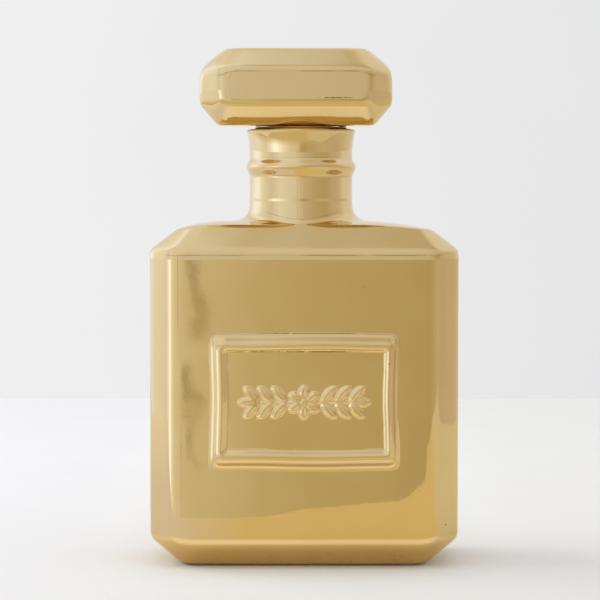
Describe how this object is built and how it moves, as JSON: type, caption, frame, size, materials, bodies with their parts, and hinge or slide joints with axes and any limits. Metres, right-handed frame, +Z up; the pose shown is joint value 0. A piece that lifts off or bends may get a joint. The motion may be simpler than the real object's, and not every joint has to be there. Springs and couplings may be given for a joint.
{
  "type": "perfume bottle",
  "caption": "Oblong ceramic flacon with cut corners, a raised label frame, a beaded neck and a lift-out block stopper, all in mirror gold plate.",
  "frame": {"origin": "middle of the base, on the surface that the flacon stands on", "axes": "+Z up through the neck, -Y out of the front face with the label frame, +X to the right as seen from the front"},
  "size_m": [0.1788, 0.0936, 0.3],
  "materials": {
    "gold_ceramic": "polished",
    "plug_moulding": "satin",
    "silicone": "satin",
    "felt": "matte"
  },
  "bodies": {
    "bottle": {"bottle_body": "gold_ceramic", "foot_pad_front_left": "felt", "foot_pad_front_right": "felt", "foot_pad_back_left": "felt", "foot_pad_back_right": "felt"},
    "lip_seal": {"lip_washer": "silicone"},
    "stopper": {"stopper_head": "gold_ceramic", "stopper_plug": "plug_moulding", "seal_ring_upper": "silicone", "seal_ring_lower": "silicone"}
  },
  "joints": [
    {"name": "stopper_turn", "type": "hinge", "parent": "bottle", "child": "lip_seal", "pos_m": [-0.0018, 0, 0.254], "axis": [0, 0, 1], "continuous": true},
    {"name": "stopper_lift", "type": "slide", "parent": "lip_seal", "child": "stopper", "axis": [0, 0, 1], "range_m": [0, 0.06]}
  ]
}
